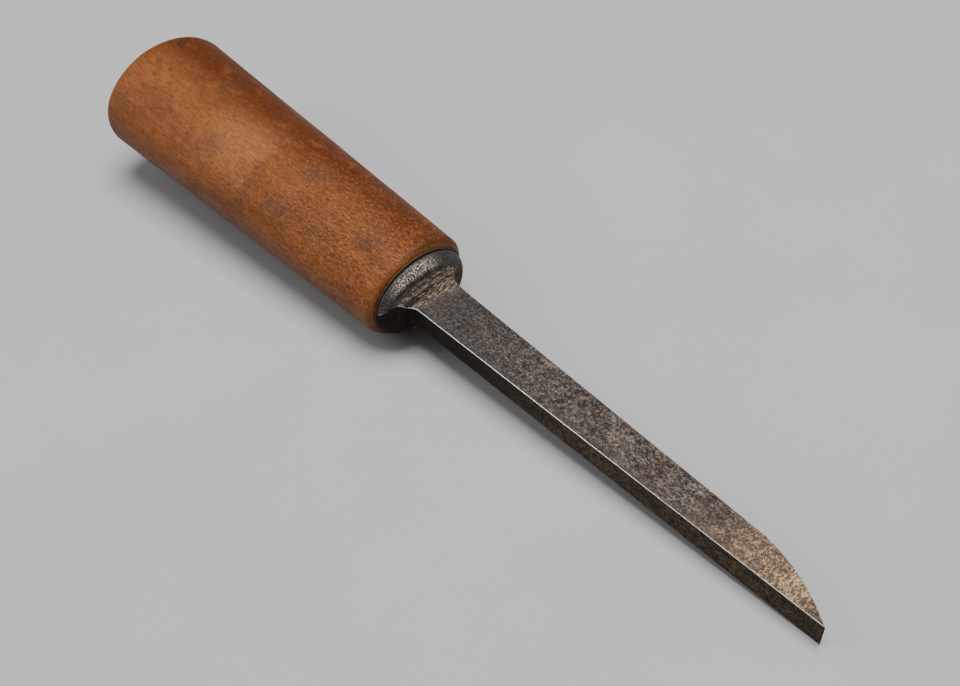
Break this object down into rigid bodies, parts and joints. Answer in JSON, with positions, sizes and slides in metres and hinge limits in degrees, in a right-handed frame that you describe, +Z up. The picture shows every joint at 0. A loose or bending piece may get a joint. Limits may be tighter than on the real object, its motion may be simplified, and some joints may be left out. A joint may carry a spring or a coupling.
{
  "type": "mortise chisel",
  "caption": "Heavy mortise chisel with an oval tapered wooden handle, leather washer, forged oval bolster and a thick single-bevel blade.",
  "frame": {"origin": "on the bench, under the middle of the tool's box as it lies on its side", "axes": "+X from the handle's butt towards the cutting edge, the flat back of the blade faces -Y, +Z up from the bench; the tool rests on the belly of the handle and the toe of the blade, nose down by 4.05 degrees"},
  "size_m": [0.2708, 0.045, 0.0393],
  "materials": {
    "beech": "oiled and hand-polished, dark with age",
    "leather": "dark compressed sole leather",
    "wrought_iron": "forged, pitted brown-grey patina",
    "laid_steel": "hardened tool steel, grey, bright along the worn edges"
  },
  "bodies": {
    "root": {"beech_handle": "beech", "leather_washer": "leather", "blade_body": "wrought_iron", "steel_facing": "laid_steel"}
  },
  "joints": []
}
